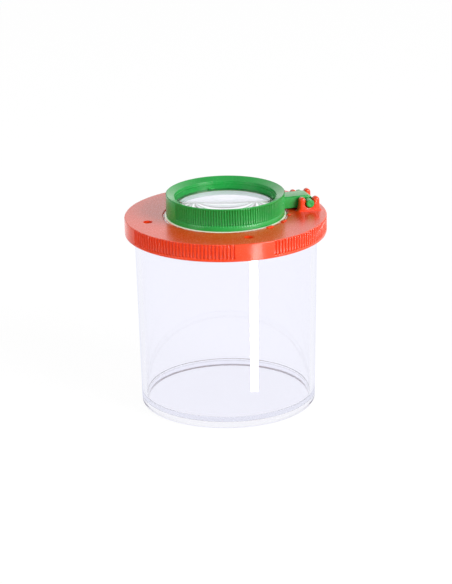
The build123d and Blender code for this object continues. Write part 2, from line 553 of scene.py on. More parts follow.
def rounded(
    corners: Sequence[Corner], hold: float = 0.06, step_angle: float = math.radians(15)
) -> list[Point]:
    """Round the corners of an outline.

    A holding point just before and after each round keeps the flat stretches flat when the
    surface is shaded smooth.

    Args:
        corners: Corners in order; the last one is followed by the first.
        hold: Distance from a round to its holding points.
        step_angle: Most that one straight piece of a round turns.

    Returns:
        Points of the outline.
    """
    points: list[Point] = []
    for index, corner in enumerate(corners):
        here = Vector((corner.x, corner.y))
        if corner.round == 0:
            points.append((here.x, here.y))
            continue
        before = corners[index - 1]
        after = corners[(index + 1) % len(corners)]
        back = (Vector((before.x, before.y)) - here).normalized()
        on = (Vector((after.x, after.y)) - here).normalized()
        half = back.angle(on) / 2
        reach = corner.round / math.tan(half)
        centre = here + (back + on).normalized() * corner.round / math.sin(half)
        first = here + back * reach - centre
        turn = math.pi - 2 * half
        way = 1 if first.x * on.y - first.y * on.x > 0 else -1
        start = math.atan2(first.y, first.x)
        steps = max(2, math.ceil(turn / step_angle))
        enter = here + back * (reach + hold)
        leave = here + on * (reach + hold)
        points.append((enter.x, enter.y))
        points += arc((centre.x, centre.y), corner.round, start, start + way * turn, steps)
        points.append((leave.x, leave.y))
    return points


def cap(half_width: float, pole: float, edge: float, steps: int) -> list[Point]:
    """Half the section of a lens face, from its pole towards its edge.

    Args:
        half_width: Radius of the face's edge.
        pole: Height of the pole.
        edge: Height of the edge.
        steps: How many straight pieces stand for the curve.

    Returns:
        Points from the pole to the edge.
    """
    sag = pole - edge
    radius = (half_width**2 + sag**2) / (2 * abs(sag))
    side = math.copysign(1, sag)
    widths = [half_width * step / steps for step in range(steps + 1)]
    return [(w, pole - side * (radius - math.sqrt(radius**2 - w**2))) for w in widths]


# Meshes


def even_turns(count: int) -> list[float]:
    """Angles of evenly spaced columns, in radians."""
    return [FULL_TURN * column / count for column in range(count)]


def rib_turns(patches: Sequence[tuple[float, float]], grooves: int, patch_columns: int) -> list[float]:
    """Angles of the columns of a ribbed ring, close together in its grooves.

    Args:
        patches: Middle and width of each smooth patch, in radians, in order round the ring.
        grooves: Number of grooves in each run between two patches.
        patch_columns: Number of columns across a patch.

    Returns:
        Angles in radians.
    """
    turns: list[float] = []
    for index, (middle, width) in enumerate(patches):
        next_middle, next_width = patches[(index + 1) % len(patches)]
        start = middle + width / 2
        end = next_middle - next_width / 2 + (FULL_TURN if index + 1 == len(patches) else 0)
        pitch = (end - start) / grooves
        turns += [middle - width / 2 + width * column / patch_columns for column in range(patch_columns)]
        turns += [
            start + pitch * (groove + 0.5 + share) for groove in range(grooves) for share in GROOVE_SHARES
        ]
    return turns


def bridged(shape: BMesh, low: Sequence[BMVert], high: Sequence[BMVert]) -> None:
    """Join two closed rows with smooth faces.

    Args:
        shape: Mesh that gets the faces.
        low: Vertices of one row, or a single one where the row is a point.
        high: Vertices of the next row, in the same way.
    """
    count = max(len(low), len(high))
    for column in range(count):
        beside = (column + 1) % count
        corners = (
            low[column % len(low)], low[beside % len(low)], high[beside % len(high)], high[column % len(high)]
        )
        shape.faces.new(list(dict.fromkeys(corners))).smooth = True


def turned(shape: BMesh, outline: Sequence[Point], turns: Sequence[float],
           skip: Sequence[int] = ()) -> list[list[BMVert]]:
    """Turn an outline round the Z axis into a smooth mesh.

    Args:
        shape: Mesh that gets the surface.
        outline: Radius and height of each row; a ring's outline closes on itself, and a solid's
            runs from the axis to the axis.
        turns: Angle of each column.
        skip: Rows that get no faces up to the next row.

    Returns:
        The vertices of each row, a single one where the row lies on the axis.
    """
    rows: list[list[BMVert]] = []
    for radius, height in outline:
        around = turns if radius > 0 else turns[:1]
        rows.append([
            shape.verts.new((radius * math.cos(turn) * MM, radius * math.sin(turn) * MM, height * MM))
            for turn in around
        ])
    closed = outline[0][0] > 0
    for index in range(len(rows) if closed else len(rows) - 1):
        if index not in skip:
            bridged(shape, rows[index], rows[(index + 1) % len(rows)])
    return rows


def filled(shape: BMesh, loops: Sequence[Sequence[BMVert]]) -> None:
    """Fill a flat stretch that has holes, and keep it flat shaded.

    Args:
        shape: Mesh that holds the loops.
        loops: The outer loop, then the loops of the holes.
    """
    verts = [vert for loop in loops for vert in loop]
    for triangle in tessellate_polygon([[vert.co for vert in loop] for loop in loops]):
        face = shape.faces.new([verts[index] for index in triangle])
        face.smooth = False


def add_object(name: str, data: ID) -> Object:
    """Put a new object in the scene.

    Args:
        name: Name of the object.
        data: Its mesh, lamp or camera.

    Returns:
        The object, at the origin.
    """
    item = bpy.data.objects.new(name, data)
    bpy.context.scene.collection.objects.link(item)
    return item


def new_piece(name: str, shape: BMesh, material: Material) -> Object:
    """Close a mesh, turn its faces outwards, shade it and put it in the scene.

    Args:
        name: Name of the piece.
        shape: The piece's mesh, which is freed.
        material: Finish of the piece.

    Returns:
        The new object, at the origin.
    """
    bmesh.ops.remove_doubles(shape, verts=shape.verts, dist=MERGE_DISTANCE)
    bmesh.ops.recalc_face_normals(shape, faces=shape.faces)
    mesh = bpy.data.meshes.new(name)
    shape.to_mesh(mesh)
    shape.free()
    mesh.materials.append(material)
    mesh.set_sharp_from_angle(angle=SHARP_ANGLE)
    return add_object(name, mesh)


def inset(outline: Sequence[Point], depth: float) -> list[Point]:
    """Move an outline inwards.

    Args:
        outline: Points in order.
        depth: How far every side moves.

    Returns:
        As many points, in the same order.
    """
    count = len(outline)
    corners = [Vector(point) for point in outline]
    area = sum(a.cross(b) for a, b in zip(corners, [*corners[1:], corners[0]]))
    side = math.copysign(1, area)
    moved: list[Point] = []
    for index, here in enumerate(corners):
        into = here - corners[index - 1]
        onward = corners[(index + 1) % count] - here
        first = Vector((-into.y, into.x)).normalized() * side
        second = Vector((-onward.y, onward.x)).normalized() * side
        spot = here + (first + second) * depth / (1 + first.dot(second))
        moved.append((spot.x, spot.y))
    return moved


def extruded(name: str, outline: Sequence[Point], spans: Sequence[Point], edge_round: float,
             material: Material) -> Object:
    """Push an outline in the XZ plane along Y and round its edges.

    Args:
        name: Name of the piece.
        outline: Points in the XZ plane.
        spans: Start and end along Y of each copy.
        edge_round: Radius that rounds the edges.
        material: Finish of the piece.

    Returns:
        The new object, at the origin.
    """
    edge = [(edge_round * (1 - math.sin(bend)), edge_round * (1 - math.cos(bend))) for bend in QUARTER]
    shape = bmesh.new()
    for start, end in spans:
        sections = [(start + y, depth) for y, depth in reversed(edge)]
        sections += [(end - y, depth) for y, depth in edge]
        loops = [
            [shape.verts.new((x * MM, y * MM, z * MM)) for x, z in inset(outline, depth)]
            for y, depth in sections
        ]
        for near, far in zip(loops, loops[1:]):
            bridged(shape, near, far)
        shape.faces.new(loops[0])
        shape.faces.new(loops[-1])
    return new_piece(name, shape, material)


def place(piece: Object, body: Body, node: str | None = None) -> None:
    """Tie a finished piece to the frame and report it.

    Args:
        piece: The piece, at the origin.
        body: Body that it moves with.
        node: Node of the frame that it stands for, if any.
    """
    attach(piece, body.value)
    if node:
        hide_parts(node)
    log.info("%s rides on %s: %d faces", piece.name, body.value, len(piece.data.polygons))


# Geometry node trees


def new_tree(name: str, sockets: dict[str, str]) -> GeometryNodeTree:
    """Start a geometry node tree with named inputs and one geometry output.

    Args:
        name: Name of the tree.
        sockets: Socket type of each input.

    Returns:
        The tree, with no nodes in it.
    """
    tree = bpy.data.node_groups.new(name, "GeometryNodeTree")
    tree.interface.new_socket("Geometry", in_out="OUTPUT", socket_type="NodeSocketGeometry")
    tree.interface.new_socket("Geometry", in_out="INPUT", socket_type="NodeSocketGeometry")
    for label, kind in sockets.items():
        tree.interface.new_socket(label, in_out="INPUT", socket_type=kind)
    return tree


def run_tree(piece: Object, tree: GeometryNodeTree, values: dict) -> Object:
    """Run a geometry node tree on a piece and keep the result as a plain mesh.

    Args:
        piece: Object that the tree works on.
        tree: The tree.
        values: Value of each named input.

    Returns:
        The same object.
    """
    modifier = piece.modifiers.new(tree.name, "NODES")
    modifier.node_group = tree
    for item in tree.interface.items_tree:
        if item.in_out == "INPUT" and item.name in values:
            modifier[item.identifier] = values[item.name]
    graph = bpy.context.evaluated_depsgraph_get()
    mesh = bpy.data.meshes.new_from_object(piece.evaluated_get(graph))
    piece.modifiers.clear()
    piece.data = mesh
    mesh.set_sharp_from_angle(angle=SHARP_ANGLE)
    return piece


def grip_ribs_tree() -> GeometryNodeTree:
    """Tree that sinks rounded grooves into the outer wall of a turned ring.

    Returns:
        The tree. Angles are radians from the middle of the nearest smooth patch.
    """
    numbers = (
        "Outer Radius", "Skin", "Repeats", "First Angle", "Last Angle", "Pitch", "Half Width", "Half Floor",
        "Depth", "Band Low", "Band High", "Fade",
    )
    sockets = dict.fromkeys(numbers, "NodeSocketFloat") | {"Material": "NodeSocketMaterial"}
    tree = new_tree("grip_ribs", sockets)
    add = partial(add_node, tree)
    given = add("NodeGroupInput").outputs
    first, pitch, fade = given["First Angle"], given["Pitch"], given["Fade"]
    position = add("GeometryNodeInputPosition")
    axes = add("ShaderNodeSeparateXYZ", {0: position}).outputs
    angle = add("ShaderNodeMath", {0: axes["Y"], 1: axes["X"]}, operation="ARCTAN2")
    reach = add("ShaderNodeMath", {0: math.pi, 1: given["Repeats"]}, operation="DIVIDE")
    back = add("ShaderNodeMath", {0: reach, 1: -1.0}, operation="MULTIPLY")
    wrapped = add("ShaderNodeMath", {0: angle, 1: reach, 2: back}, operation="WRAP")
    away = add("ShaderNodeMath", {0: wrapped}, operation="ABSOLUTE")
    past = add("ShaderNodeMath", {0: away, 1: first}, operation="SUBTRACT")
    phase = add("ShaderNodeMath", {0: past, 1: pitch}, operation="DIVIDE")
    share = add("ShaderNodeMath", {0: phase}, operation="FRACT")
    middle = add("ShaderNodeMath", {0: share, 1: 0.5}, operation="SUBTRACT")
    aside = add("ShaderNodeMath", {0: middle}, operation="ABSOLUTE")
    spread = add("ShaderNodeMath", {0: aside, 1: pitch}, operation="MULTIPLY")
    along = add("ShaderNodeMath", {0: spread, 1: given["Outer Radius"]}, operation="MULTIPLY")
    started = add("ShaderNodeMath", {0: away, 1: first}, operation="GREATER_THAN")
    running = add("ShaderNodeMath", {0: away, 1: given["Last Angle"]}, operation="LESS_THAN")
    low_end = add("ShaderNodeMath", {0: given["Band Low"], 1: fade}, operation="ADD")
    high_end = add("ShaderNodeMath", {0: given["Band High"], 1: fade}, operation="SUBTRACT")
    wave, rise, fall = (
        add(
            "ShaderNodeMapRange", {0: value, 1: low, 2: high, 3: before, 4: 1.0 - before},
            interpolation_type="SMOOTHSTEP",
        )
        for value, low, high, before in (
            (along, given["Half Floor"], given["Half Width"], 1.0),
            (axes["Z"], given["Band Low"], low_end, 0.0),
            (axes["Z"], high_end, given["Band High"], 1.0),
        )
    )
    flat = add("ShaderNodeVectorMath", {0: position, 1: (1.0, 1.0, 0.0)}, operation="MULTIPLY")
    radius = add("ShaderNodeVectorMath", {0: flat}, operation="LENGTH")
    limit = add("ShaderNodeMath", {0: given["Outer Radius"], 1: given["Skin"]}, operation="SUBTRACT")
    outside = add("ShaderNodeMath", {0: radius, 1: limit}, operation="GREATER_THAN")
    sink = given["Depth"]
    for factor in (wave, started, running, rise, fall, outside, -1.0):
        sink = add("ShaderNodeMath", {0: sink, 1: factor}, operation="MULTIPLY")
    outward = add("ShaderNodeVectorMath", {0: flat}, operation="NORMALIZE")
    step = add("ShaderNodeVectorMath", {0: outward, "Scale": sink}, operation="SCALE")
    moved = add("GeometryNodeSetPosition", {"Geometry": given["Geometry"], "Offset": step})
    real = add("GeometryNodeRealizeInstances", {"Geometry": moved})
    dressed = add("GeometryNodeSetMaterial", {"Geometry": real, "Material": given["Material"]})
    add("NodeGroupOutput", {0: dressed})
    return tree


def ring_of_copies_tree() -> GeometryNodeTree:
    """Tree that sets copies of a small piece round a circle, on one side of it or on both alike.

    Returns:
        The tree. The piece that it copies stands at the origin and points along +X.
    """
    sockets = (
        dict.fromkeys(("Count", "Sides"), "NodeSocketInt")
        | dict.fromkeys(("Radius", "Height", "First Angle", "Step"), "NodeSocketFloat")
        | {"Material": "NodeSocketMaterial"}
    )
    tree = new_tree("ring_of_copies", sockets)
    add = partial(add_node, tree)
    given = add("NodeGroupInput").outputs
    sides = given["Sides"]
    index = add("GeometryNodeInputIndex")
    total = add("ShaderNodeMath", {0: given["Count"], 1: sides}, operation="MULTIPLY")
    share = add("ShaderNodeMath", {0: index, 1: sides}, operation="DIVIDE")
    turn = add("ShaderNodeMath", {0: share}, operation="FLOOR")
    other = add("ShaderNodeMath", {0: index, 1: sides}, operation="MODULO")
    side = add("ShaderNodeMath", {0: other, 1: -2.0, 2: 1.0}, operation="MULTIPLY_ADD")
    reach = add(
        "ShaderNodeMath", {0: turn, 1: given["Step"], 2: given["First Angle"]}, operation="MULTIPLY_ADD"
    )
    angle = add("ShaderNodeMath", {0: reach, 1: side}, operation="MULTIPLY")
    spin = add("ShaderNodeCombineXYZ", {"Z": angle})
    start = add("ShaderNodeCombineXYZ", {"X": given["Radius"], "Z": given["Height"]})
    spot = add("ShaderNodeVectorRotate", {"Vector": start, "Angle": angle}, rotation_type="Z_AXIS")
    points = add("GeometryNodePoints", {"Count": total, "Position": spot})
    facing = add("FunctionNodeEulerToRotation", {0: spin})
    copies = add(
        "GeometryNodeInstanceOnPoints",
        {"Points": points, "Instance": given["Geometry"], "Rotation": facing},
    )
    real = add("GeometryNodeRealizeInstances", {"Geometry": copies})
    dressed = add("GeometryNodeSetMaterial", {"Geometry": real, "Material": given["Material"]})
    add("NodeGroupOutput", {0: dressed})
    return tree


# The jar and its parts


@dataclass
class Jar:
    """Clear cup with a foot rim, a raised floor and a bead round its mouth.

    Attributes:
        finishes: Materials of the jar.
        height: Height of the cup.
        top_radius: Radius of the wall under the bead.
        base_radius: Radius of the wall at the foot.
        wall: Thickness of the wall.
        foot_height: Height of the floor's underside.
        foot_width: Width of the foot rim.
        foot_round: Radius that rounds the foot.
        recess_round: Radius where the foot rim meets the floor's underside.
        floor_thickness: Thickness of the floor.
        floor_round: Radius where the floor meets the wall.
        bead_width: How far the bead stands out.
        bead_height: Height of the bead.
        bead_round: Radius that rounds the bead.
        edge_round: Radius that the polished mould leaves on every other edge.
        columns: Columns round the cup.
    """

    finishes: Finishes
    height: float = 69.2
    top_radius: float = 33.3
    base_radius: float = 32.1
    wall: float = 1.8
    foot_height: float = 2.4
    foot_width: float = 2.1
    foot_round: float = 1.2
    recess_round: float = 0.15
    floor_thickness: float = 1.8
    floor_round: float = 0.3
    bead_width: float = 1.0
    bead_height: float = 3.6
    bead_round: float = 0.4
    edge_round: float = 0.25
    columns: int = 288

    def outline(self) -> list[Point]:
        """Half the section of the cup, from the underside's middle to the floor's middle."""
        floor_top = self.foot_height + self.floor_thickness
        bead_bottom = self.height - self.bead_height
        lean = (self.top_radius - self.base_radius) / bead_bottom
        floor_radius = self.base_radius + lean * floor_top - self.wall
        bead_radius = self.top_radius + self.bead_width
        foot_inner = self.base_radius - self.foot_width
        return rounded([
            Corner(0, self.foot_height),
            Corner(foot_inner, self.foot_height, self.recess_round),
            Corner(foot_inner, 0, self.recess_round / 2),
            Corner(self.base_radius, 0, self.foot_round),
            Corner(self.top_radius, bead_bottom, self.edge_round),
            Corner(bead_radius, bead_bottom, self.bead_round),
            Corner(bead_radius, self.height, self.bead_round),
            Corner(self.top_radius - self.wall, self.height, self.bead_round),
            Corner(floor_radius, floor_top, self.floor_round),
            Corner(0, floor_top),
        ], step_angle=math.radians(5))

    def build(self) -> None:
        """Make the cup."""
        shape = bmesh.new()
        turned(shape, self.outline(), even_turns(self.columns))
        place(new_piece("jar_cup", shape, self.finishes.jar), Body.JAR, "jar")


@dataclass
class Ribs:
    """A band of grip ribs round a turned ring.

    Attributes:
        repeats: How many times the pattern of ribs and patches repeats round the ring.
        first: Angle from a patch's middle to the first rib, in degrees.
        last: Angle from a patch's middle to the end of its run of ribs, in degrees.
        pitch: Angle from one groove to the next, in degrees.
        half_width: Half the width of a groove at its mouth.
        half_floor: Half the width of its flat floor.
        depth: Depth of a groove.
        low: Height where the grooves start.
        high: Height where the grooves end.
        fade: Length of a groove's rounded end.
        skin: Depth under the outer wall in which points count as its own.
    """

    repeats: int
    first: float
    last: float
    pitch: float
    half_width: float
    half_floor: float
    depth: float
    low: float
    high: float
    fade: float = 0.4
    skin: float = 0.6

    def rows(self, radius: float, top: float) -> list[Corner]:
        """Rows for the grooves' rounded ends on a wall of this radius and top, from low to high."""
        shares = (0, 0.3, 0.6, 1)
        low = [self.low + self.fade * share for share in shares]
        high = [self.high - self.fade * share for share in reversed(shares)]
        return [Corner(radius, height) for height in low + high if height < top]

    def cut(self, piece: Object, radius: float, material: Material) -> None:
        """Sink the grooves into a piece.

        Args:
            piece: Turned ring with close columns.
            radius: Its outer radius.
            material: Its finish.
        """
        tree = bpy.data.node_groups.get("grip_ribs") or grip_ribs_tree()
        run_tree(piece, tree, {
            "Outer Radius": radius * MM, "Skin": self.skin * MM, "Repeats": float(self.repeats),
            "First Angle": math.radians(self.first), "Last Angle": math.radians(self.last),
            "Pitch": math.radians(self.pitch), "Half Width": self.half_width * MM,
            "Half Floor": self.half_floor * MM, "Depth": self.depth * MM, "Band Low": self.low * MM,
            "Band High": self.high * MM, "Fade": self.fade * MM, "Material": material,
        })


@dataclass
class Lugs:
    """Small snap lugs set round a circle, which reach inwards over a lens.

    Attributes:
        count: Lugs on a side.
        sides: One side, or two alike.
        first: Angle of the first lug, in degrees.
        step: Angle from one lug to the next, in degrees.
        wall: Radius of the wall that they stand in.
        root: How far behind the wall a lug starts.
        reach: How far it comes inwards from there.
        width: Width of a lug.
        base: Height from which its underside and top are measured.
        low: Height of its underside above that.
        high: Height of its top above that.
        edge_round: Radius that rounds its edges.
        front_share: Share of its height that its front stands upright.
        top_share: Share of its reach that its flat top takes.
    """

    count: int
    sides: int
    first: float
    step: float
    wall: float
    root: float
    reach: float
    width: float
    base: float
    low: float
    high: float
    edge_round: float = 0.1
    front_share: float = 0.5
    top_share: float = 0.75

    def build(self, name: str, material: Material) -> Object:
        """Make the lugs.

        Args:
            name: Name of the piece that holds them all.
            material: Their finish.

        Returns:
            The piece.
        """
        low = self.base + self.low
        rise = self.base + self.high - low
        # The nose is rounder than the edges, so that the outline can shrink by their round
        nose_round = self.edge_round * 1.2
        outline = rounded([
            Corner(0, 0), Corner(-self.reach, 0), Corner(-self.reach, rise * self.front_share, nose_round),
            Corner(-self.reach * self.top_share, rise, nose_round), Corner(0, rise),
        ], hold=0.01)
        lug = extruded(name, outline, [(-self.width / 2, self.width / 2)], self.edge_round, material)
        tree = bpy.data.node_groups.get("ring_of_copies") or ring_of_copies_tree()
        return run_tree(lug, tree, {
            "Count": self.count, "Sides": self.sides, "Radius": (self.wall + self.root) * MM,
            "Height": low * MM, "First Angle": math.radians(self.first), "Step": math.radians(self.step),
            "Material": material,
        })


@dataclass
class Hinge:
    """Sizes that the lid's clips and the frame's arm share.

    Attributes:
        pin_x: Distance of the pin from the jar's axis.
        pin_z: Height of the pin.
        pin_radius: Radius of the pin.
        pin_slip: Play of the pin in its slot.
        arm_width: Width of the arm.
        arm_clearance: Gap between the arm and a clip.
        clip_depth: Width of a clip along the pin.
        pin_overhang: How far the pin stands out of a clip.
    """

    pin_x: float = 30.2
    pin_z: float = 74.15
    pin_radius: float = 1.5
    pin_slip: float = 0.05
    arm_width: float = 6.8
    arm_clearance: float = 0.4
    clip_depth: float = 2.8
    pin_overhang: float = 0.7

    @property
    def clip_start(self) -> float:
        """Distance of a clip's inner face from the middle."""
        return self.arm_width / 2 + self.arm_clearance

    @property
    def clip_end(self) -> float:
        """Distance of a clip's outer face from the middle."""
        return self.clip_start + self.clip_depth


@dataclass
class Lid:
    """Push-on lid: plate, ribbed skirt, seat and lugs for the fixed lens, vents and hinge clips.

    Attributes:
        finishes: Materials of the jar.
        hinge: Sizes of the hinge.
        top: Height of the plate's top.
        plate: Thickness of the plate.
        radius: Outer radius of the skirt.
        bore: Inner radius of the skirt.
        skirt_height: Height of the skirt, plate included.
        recess_radius: Radius of the recess for the fixed lens.
        opening_radius: Radius of the opening under the lens.
        collar_radius: Outer radius of the collar that holds the seat.
        seat_top: Height of the seat.
        seat_bottom: Height of the seat's underside.
        edge_round: Radius that rounds the lid's outer edges.
        fine_round: Radius that rounds its inner edges.
        vents: Number of vent holes.
        vent_radius: Radius of a vent hole.
        vent_circle: Distance of a vent hole from the axis.
        vent_chamfer: Width of the chamfer round a vent hole.
        patch_angle: Width of a smooth patch, in degrees.
        grooves: Grooves between two patches.
        rib_top: Smooth land above the ribs.
        rib_bottom: Smooth band under the ribs.
        prong: Thickness of a clip's prong.
        prong_lip: How far a prong's head reaches over the pin.
        head_rise: Height of a prong's head above the pin.
        foot_flare: How far a clip's foot spreads.
        foot_height: Height of that spread.
        foot_sunk: How deep the foot is sunk into the plate.
        clip_round: Radius that rounds a clip's side edges.
    """

    finishes: Finishes
    hinge: Hinge
    top: float = 71.3
    plate: float = 2.0
    radius: float = 36.8
    bore: float = 34.5
    skirt_height: float = 6.4
    recess_radius: float = 23.0
    opening_radius: float = 20.8
    collar_radius: float = 25.0
    seat_top: float = 70.05
    seat_bottom: float = 68.55
    edge_round: float = 0.35
    fine_round: float = 0.15
    vents: int = 3
    vent_radius: float = 1.5
    vent_circle: float = 29.2
    vent_chamfer: float = 0.2
    patch_angle: float = 22.1
    grooves: int = 33
    rib_top: float = 0.05
    rib_bottom: float = 0.9
    prong: float = 2.3
    prong_lip: float = 0.15
    head_rise: float = 0.95
    foot_flare: float = 1.0
    foot_height: float = 3.0
    foot_sunk: float = 1.1
    clip_round: float = 0.8

    def ribs(self) -> Ribs:
        """Grip ribs of the skirt, in four runs between four smooth patches.

        A run is measured from both of its patches, so each half ends just past the run's middle.
        """
        return Ribs(
            repeats=4, first=self.patch_angle / 2, last=46.0, pitch=(90 - self.patch_angle) / self.grooves,
            half_width=0.52, half_floor=0.3, depth=0.6,
            low=self.top - self.skirt_height + self.rib_bottom, high=self.top - self.rib_top,
        )

    def outline(self) -> list[Point]:
        """Section of the shell, from the recess over the plate and the skirt to the seat."""
        skirt_bottom = self.top - self.skirt_height
        underside = self.top - self.plate
        # The grooves' rows stay clear of the edge's round
        land_bottom = self.top - 1.2 * self.edge_round
        return rounded([
            Corner(self.recess_radius, self.top, self.fine_round),
            Corner(self.radius, self.top, self.edge_round),
            *reversed(self.ribs().rows(self.radius, land_bottom)),
            Corner(self.radius, skirt_bottom, self.edge_round),
            Corner(self.bore, skirt_bottom, self.fine_round),
            Corner(self.bore, underside, self.fine_round),
            Corner(self.collar_radius, underside, self.fine_round),
            Corner(self.collar_radius, self.seat_bottom, self.fine_round),
            Corner(self.opening_radius, self.seat_bottom, self.fine_round),
            Corner(self.opening_radius, self.seat_top, self.fine_round),
            Corner(self.recess_radius, self.seat_top, self.fine_round),
        ], step_angle=math.radians(30))

    def flat_row(self, outline: Sequence[Point], height: float) -> int:
        """Find the row that starts the widest flat stretch at a height.

        Args:
            outline: Section of the shell.
            height: Height of the stretch.

        Returns:
            Index of the row before the stretch.
        """
        level = [
            index for index in range(len(outline) - 1)
            if max(abs(outline[index][1] - height), abs(outline[index + 1][1] - height)) < TOLERANCE
        ]
        return max(level, key=lambda index: abs(outline[index + 1][0] - outline[index][0]))

    def vent(self, shape: BMesh, angle: float, steps: int = 48) -> list[list[BMVert]]:
        """Add the wall of one vent hole.

        Args:
            shape: Mesh of the shell.
            angle: Where the hole is round the axis.
            steps: Columns round the hole.

        Returns:
            The hole's top loop and bottom loop.
        """
        section = rounded([
            Corner(self.vent_radius + 2 * self.vent_chamfer, self.top),
            Corner(self.vent_radius, self.top, self.vent_chamfer),
            Corner(self.vent_radius, self.top - self.plate),
        ])[1:]
        middle = (self.vent_circle * math.cos(angle), self.vent_circle * math.sin(angle))
        loops = [
            [
                shape.verts.new(((middle[0] + radius * math.cos(turn)) * MM,
                                 (middle[1] + radius * math.sin(turn)) * MM, height * MM))
                for turn in even_turns(steps)
            ]
            for radius, height in section
        ]
        for upper, lower in zip(loops, loops[1:]):
            bridged(shape, upper, lower)
        return [loops[0], loops[-1]]

    def build_shell(self) -> None:
        """Make the plate and the ribbed skirt in one shell."""
        quarter = math.pi / 2
        patches = [(quarter * index, math.radians(self.patch_angle)) for index in range(4)]
        outline = self.outline()
        top_row = self.flat_row(outline, self.top)
        under_row = self.flat_row(outline, self.top - self.plate)
        shape = bmesh.new()
        rows = turned(
            shape, outline, rib_turns(patches, self.grooves, patch_columns=12), skip=(top_row, under_row)
        )
        vents = [self.vent(shape, quarter * (index + 1)) for index in range(self.vents)]
        filled(shape, [rows[top_row + 1], rows[top_row], *(loops[0] for loops in vents)])
        filled(shape, [rows[under_row], rows[under_row + 1], *(loops[1] for loops in vents)])
        shell = new_piece("lid_shell", shape, self.finishes.lid)
        self.ribs().cut(shell, self.radius, self.finishes.lid)
        place(shell, Body.LID, "lid")

    def clip_outline(self) -> list[Point]:
        """Outline of a clip: a spreading foot and two prongs whose heads close over the pin."""
        pin_x, pin_z = self.hinge.pin_x, self.hinge.pin_z
        slot = self.hinge.pin_radius + self.hinge.pin_slip
        outer = slot + self.prong
        head = (self.prong + self.prong_lip) / 2
        head_x = outer - head
        head_z = pin_z + self.head_rise
        flare = self.foot_flare
        foot = [(-flare * (1 - math.sin(t)), self.foot_height * (1 - math.cos(t))) for t in QUARTER]
        left = [(-outer - flare, -self.foot_sunk), *((-outer + x, z) for x, z in foot)]
        meet = math.acos((head_x - slot) / head)
        over = arc((-head_x, head_z - self.top), head, math.pi, -meet, steps=14)
        half = [*left, *over]
        bowl = arc((0, pin_z - self.top), slot, math.pi, FULL_TURN, steps=14)
        right = [(-x, z) for x, z in reversed(half)]
        return [(pin_x + x, self.top + z) for x, z in [*half, *bowl, *right]]

    def build_clips(self) -> None:
        """Make the pair of snap clips."""
        start, end = self.hinge.clip_start, self.hinge.clip_end
        spans = [(-end, -start), (start, end)]
        clips = extruded("lid_clips", self.clip_outline(), spans, self.clip_round, self.finishes.lid)
        place(clips, Body.LID)

    def build(self) -> None:
        """Make the lid."""
        self.build_shell()
        lugs = Lugs(
            count=3, sides=2, first=20, step=21.5, wall=self.recess_radius, root=0.7, reach=1.4, width=2.6,
            base=self.top, low=-0.1, high=0.4,
        )
        place(lugs.build("lid_snap_lugs", self.finishes.lid), Body.LID)
        self.build_clips()


@dataclass
class Lens:
    """Lens that bulges both ways from a flat flange.

    Attributes:
        finishes: Materials of the jar.
        name: Name of the piece.
        node: Node of the frame that it stands for.
        body: Body that it moves with.
        flange_radius: Radius of the flange.
        face_radius: Radius of the curved faces.
        flange_bottom: Height of the flange's underside.
        flange_thickness: Thickness of the flange.
        sag: How far each face bulges.
        matt: Inner and outer radius of the flange's matt band, if it has one; its finish has a painted glow.
        flange_round: Radius that rounds the flange.
        columns: Columns round the lens.
        rows: Rows of each curved face.
    """

    finishes: Finishes
    name: str
    node: str
    body: Body
    flange_radius: float
    face_radius: float
    flange_bottom: float
    flange_thickness: float
    sag: float
    matt: Point | None = None
    flange_round: float = 0.15
    columns: int = 240
    rows: int = 28

    @property
    def flange_top(self) -> float:
        """Height of the flange's top."""
        return self.flange_bottom + self.flange_thickness

    def build(self) -> None:
        """Make the lens."""
        low = cap(self.face_radius, self.flange_bottom - self.sag, self.flange_bottom, self.rows)
        high = cap(self.face_radius, self.flange_top + self.sag, self.flange_top, self.rows)
        rim = rounded([
            Corner(self.face_radius, self.flange_bottom),
            *(Corner(radius, self.flange_bottom) for radius in self.matt or ()),
            Corner(self.flange_radius, self.flange_bottom, self.flange_round),
            Corner(self.flange_radius, self.flange_top, self.flange_round),
            *(Corner(radius, self.flange_top) for radius in reversed(self.matt or ())),
            Corner(self.face_radius, self.flange_top),
        ])
        shape = bmesh.new()
        turned(shape, [*low, *rim[1:-1], *reversed(high)], even_turns(self.columns))
        piece = new_piece(self.name, shape, self.finishes.lens)
        if self.matt:
            inner, outer = self.matt
            piece.data.materials.append(self.finishes.rim)
            for face in piece.data.polygons:
                face.material_index = int(inner * MM < face.center.xy.length < outer * MM)
        place(piece, self.body, self.node)


